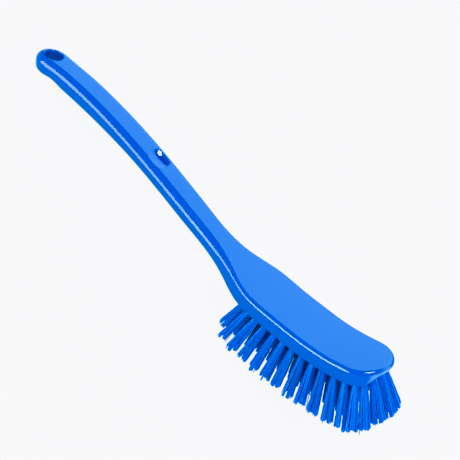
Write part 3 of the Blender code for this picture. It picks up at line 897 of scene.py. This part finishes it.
# %% [markdown]
# ## Filling the holes
#
# Each kind of tuft gets its anchor, and a copy of one of the kinds goes into every hole, some the
# other way round. A few tufts in the photograph stand taller, shorter, wider or narrower than the
# rest, those round the front above all, so the table below gives each of them its own shares of
# height and width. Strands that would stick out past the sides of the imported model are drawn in, and
# one that would reach below the floor is bent up to it, as the weight of the brush bends the real
# ones.

# %% Copy the tufts into their holes
FLOOR_GAP, FULL_SPREAD_HEIGHT, ORDER_SEED = 0.0001, 0.012, 7
TRIM_SHARES = {
    "tuft_near_outer_01": (1.05, 1.00), "tuft_near_outer_02": (1.03, 1.05),
    "tuft_near_outer_03": (1.03, 1.00), "tuft_near_outer_11": (0.95, 0.80),
    "tuft_near_inner_12": (1.14, 1.10), "tuft_front_2": (0.97, 1.15),
    "tuft_front_3": (0.95, 1.20), "tuft_front_4": (0.98, 1.20), "tuft_front_5": (1.00, 1.10),
}

for kind in tuft_kinds:
    kind.data.materials.clear()
    kind.data.materials.append(satin.material)
    bar = twin(anchor)
    bar.data.materials.append(wire.material)
    joined(bar, kind)
bpy.data.objects.remove(anchor)

draw = random.Random(ORDER_SEED)
order = list(range(TUFT_KINDS))
side_limit = min(-cad_box[0][1], cad_box[1][1])
lowest = 0
for number, (name, place) in enumerate(tuft_frames.items()):
    if number % TUFT_KINDS == 0:
        draw.shuffle(order)
    tuft = twin(tuft_kinds[order[number % TUFT_KINDS]])
    tuft.name = "bristles_" + name.removeprefix("tuft_")
    taller, wider = TRIM_SHARES.get(name, (1, 1))
    for vert in tuft.data.vertices:
        if vert.co.z > 0:
            widen = 1 + (wider - 1) * min(vert.co.z / FULL_SPREAD_HEIGHT, 1)
            vert.co = (vert.co.x * widen, vert.co.y * widen, vert.co.z * taller)
    at_rest = to_rest @ place
    tuft.data.transform(at_rest @ Matrix.Rotation(draw.choice((0, math.pi)), 4, "Z"))
    root = abs(at_rest.translation.y)
    reach = max(abs(vert.co.y) for vert in tuft.data.vertices)
    for vert in tuft.data.vertices:
        if reach > side_limit and abs(vert.co.y) > root:
            kept = (side_limit - root) / (reach - root)
            vert.co.y = math.copysign(root + (abs(vert.co.y) - root) * kept, vert.co.y)
        lowest = min(lowest, vert.co.z)
        vert.co.z = max(vert.co.z, FLOOR_GAP)
    # Painted shade on the roots of the inner rows, save the last tuft of each row.
    shaded = "inner" in name and not name.endswith(f"_{INNER_ROW_TUFTS}")
    add_floats(tuft.data, "painted_root_shade", [float(shaded)] * len(tuft.data.vertices))
    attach(tuft, "root")
    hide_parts(name)
for kind in tuft_kinds:
    bpy.data.objects.remove(kind)
print("Tufts in place:", len(tuft_frames), "deepest bend", round(-1000 * lowest, 2), "mm")

# %% [markdown]
# ## Floor, light and camera
#
# The photograph was taken in a white cove. A pale floor stands in for it. Nearly all that shows on
# glossy plastic is the reflection of the room, so the room's panels are placed by what each has to
# show. A broad one behind the brush lies in the flat back from end to end, and its upper edge is
# tipped so that its reflection stops at the back's own edge all the way. It is dimmer in its lower
# part. A second one, low at the near left, draws the bright line along the rounding. The dark ceiling
# between the two leaves the deep blue band beside that line.
#
# Lamps could stand at these places, but they are near, and each bend of the brush would see them from
# elsewhere. So the panels are painted on the room's far walls, where only a direction counts. A small
# one overhead makes the white spot at the slot and in front, and a soft-edged one at the right lights
# the nose. Soft, even light from all round is what the matt part of the plastic gets.

# %% The pale floor
FLOOR_WHITE, FLOOR_STRENGTH, FLOOR_GREY = (0.948, 0.942, 0.957, 1.0), 0.975, (0.03, 0.03, 0.03, 1.0)
FLOOR_SIZE, FLOOR_DROP = 8, 0.0003

bpy.ops.mesh.primitive_plane_add(size=FLOOR_SIZE, location=(0, 0, -FLOOR_DROP))
floor = bpy.context.active_object
floor.name = "floor"
paper = Finish("pale_floor")
paper.plug(paper.shader, {
    "Base Color": FLOOR_GREY, "Roughness": 1.0, "Specular IOR Level": 0.0,
    "Emission Color": FLOOR_WHITE, "Emission Strength": FLOOR_STRENGTH})
floor.data.materials.append(paper.material)
floor.visible_glossy = False
floor.visible_diffuse = False
print("Floor:", FLOOR_SIZE, "m wide, at", round(-1000 * FLOOR_DROP, 1), "mm")

# %% The room and its panels
# Each panel: its middle, the way its upper edge faces, and half its width and height in degrees.
BACK_PANEL = (-0.2395, 0.8754, 0.420), (-0.408, -0.734, 0.544), 60, 22
NEAR_PANEL = (-0.5, -0.866, 0.085), (0, 0, 1), 23, 17
TOP_PANEL = (-0.08, 0.05, 0.99), (0, 1, 0), 7, 11
SIDE_PANEL = (0.90, 0.42, 0.20), (0, 0, 1), 30, 26
NEAR_STRENGTH, TOP_STRENGTH, SIDE_STRENGTH = 8.6, 20.0, 5.0
PANEL_EDGE, SIDE_PANEL_EDGE, AHEAD = 0.03, 0.20, (0.0, 0.05)
BACK_BRIGHT_WAY, BACK_GAIN, BACK_LOSS, BACK_MOST = (-0.096, 0.863, 0.495), 5.80, 2.73, 4.0
BACK_UPWARD, LOWER_PART, LOWER_SHARE = (-0.4487, -0.653, 0.6101), (-0.40, -0.12), 0.48
EVEN_LIGHT, LIGHT_LEAN, UNDERSIDE = 0.84, (0.0, -0.32, 0.12), (-0.85, -0.45)
CEILING, FLOOR_GLOW, HORIZON = 0.12, 0.92, (-0.02, 0.0)
WHITE, FLOOR_TINT = (1.0, 1.0, 1.0, 1.0), (0.50, 1.0, 1.10, 1.0)
BACK_TINT, NEAR_TINT = (0.55, 1.0, 1.49, 1.0), (0.74, 1.0, 1.49, 1.0)

room = Finish("studio_room", room=True)
bpy.context.scene.world = room.material
room.material.cycles.sampling_method = "NONE"
sight = room.node("ShaderNodeTexCoord", output="Generated")


def along_axis(axis):
    """How far the looked-at direction reaches along an axis."""
    return room.vectors("DOT_PRODUCT", sight, tuple(axis), output="Value")


def panel(middle, upper_edge_faces, half_width, half_height, edge=PANEL_EDGE):
    """A mask for a rectangle seen in this direction; the two halves are angles in degrees."""
    middle = Vector(middle).normalized()
    across = Vector(upper_edge_faces).cross(middle).normalized()
    upward = middle.cross(across)
    ahead = along_axis(middle)
    mask = room.spread(ahead, *AHEAD)
    for axis, half in ((across, half_width), (upward, half_height)):
        reach = math.tan(math.radians(half))
        for way in (-1, 1):
            inside = along_axis(way * axis) - ahead * reach
            mask = mask * room.spread(inside, -edge, edge, 1.0, 0.0)
    return mask


back_light = along_axis(BACK_BRIGHT_WAY) * BACK_GAIN - BACK_LOSS
upper_part = room.spread(along_axis(BACK_UPWARD), *LOWER_PART, LOWER_SHARE, 1.0)
back_glow = room.spread(back_light, 0.0, BACK_MOST, 0.0, BACK_MOST) * panel(*BACK_PANEL) * upper_part
near_glow = NEAR_STRENGTH * panel(*NEAR_PANEL)
top_glow = TOP_STRENGTH * panel(*TOP_PANEL)
side_glow = SIDE_STRENGTH * panel(*SIDE_PANEL, SIDE_PANEL_EDGE)
height_seen = along_axis((0, 0, 1))
below = room.spread(height_seen, *HORIZON, FLOOR_GLOW, CEILING)
mirrored = below + back_glow + near_glow + top_glow + side_glow
soft_light = (along_axis(LIGHT_LEAN) + EVEN_LIGHT) * room.spread(height_seen, *UNDERSIDE)
glossy_ray = room.node("ShaderNodeLightPath", output="Is Glossy Ray")
colour = WHITE
for part, tone in ((room.spread(height_seen, *HORIZON, 1.0, 0.0), FLOOR_TINT),
                   (room.spread(back_glow + side_glow, 0.0, 1.0), BACK_TINT),
                   (room.spread(near_glow, 0.0, 1.0), NEAR_TINT)):
    colour = room.mix(glossy_ray * part, colour, tone)
room.plug(room.shader, {"Color": colour, "Strength": soft_light + glossy_ray * (mirrored - soft_light)})
print("Room:", len(room.tree.nodes), "nodes")

# %% [markdown]
# ### The card and the film
#
# Along the block the rounding is tighter and bends in plan, so the painted panel's line thins out
# there. A white card held close beside the block draws the rest of it, in the way that photographers
# do it. It darkens toward the handle's side, so that its line fades into the panel's. Only
# reflections can see it.
#
# In the photograph the blue has almost no red left in it. The film here does the same: its black
# level for red is raised, which leaves white white and takes the trace of red out of the plastic's
# blue. The panels are tinted blue for the same reason: what they add to the plastic's colour is a
# paler blue. So is the floor as reflections see it, or the edges that mirror it at a slant would turn
# violet.

# %% A card beside the block
CARD_WHITE, CARD_DIM = (0.61, 0.93, 1.04, 1.0), (0.37, 0.58, 0.64, 1.0)
CARD_PLACE, CARD_SIZE = (-0.012, -0.25, 0.086), (0.22, 0.100, 1)
CARD_STRENGTH, CARD_FADE = 17.0, (-0.32, 0.02)

bpy.ops.mesh.primitive_plane_add(size=1, location=CARD_PLACE, rotation=(quarter, 0, 0))
card = bpy.context.active_object
card.name = "card_by_the_block"
card.scale = CARD_SIZE
card_face = Finish("bright_card")
on_card = card_face.node("ShaderNodeTexCoord", output="Object")
along_card = card_face.node("ShaderNodeSeparateXYZ", None, {"Vector": on_card}, output="X")
lit = card_face.mix(card_face.spread(along_card, *CARD_FADE), CARD_DIM, CARD_WHITE)
card_face.plug(card_face.shader, {
    "Base Color": (0.0, 0.0, 0.0, 1.0), "Specular IOR Level": 0.0,
    "Emission Color": lit, "Emission Strength": CARD_STRENGTH})
card.data.materials.append(card_face.material)
for sense in ("visible_camera", "visible_diffuse", "visible_shadow", "visible_transmission"):
    setattr(card, sense, False)
print("Card:", CARD_SIZE[0], "by", CARD_SIZE[1], "m")

# %% The film
BLACK_LEVEL = (0.12, 0.0, 0.0)

view = bpy.context.scene.view_settings
view.view_transform = "Standard"
view.use_curve_mapping = True
view.curve_mapping.black_level = BLACK_LEVEL
view.curve_mapping.update()
print("Black level of the film:", BLACK_LEVEL)

# %% [markdown]
# ### The camera
#
# The camera looks down at the near side from just to the right, from about 0.9 m, and is rolled so
# that the brush hangs across the frame from corner to corner, as in the photograph.

# %% Camera at the photograph's viewing angle
AZIMUTH, ELEVATION, ROLL = math.radians(12.286), math.radians(41.562), math.radians(44.513)
DISTANCE, LOOK_AT, LENS = 0.9254, Vector((0.01755, 0, 0.05823)), 88.756

backward = Vector((math.sin(AZIMUTH) * math.cos(ELEVATION), -math.cos(AZIMUTH) * math.cos(ELEVATION),
                   math.sin(ELEVATION)))
level_right = Vector((math.cos(AZIMUTH), math.sin(AZIMUTH), 0))
level_up = backward.cross(level_right)
right = level_right * math.cos(ROLL) + level_up * math.sin(ROLL)
up = level_up * math.cos(ROLL) - level_right * math.sin(ROLL)
camera_data = bpy.data.cameras.new("camera")
camera_data.lens = LENS
camera = bpy.data.objects.new("camera", camera_data)
bpy.context.collection.objects.link(camera)
camera.matrix_world = Matrix.Translation(LOOK_AT + DISTANCE * backward) @ Matrix(
    (right, up, backward)).transposed().to_4x4()
bpy.context.scene.camera = camera
print("Camera at", [round(v, 3) for v in camera.matrix_world.translation])
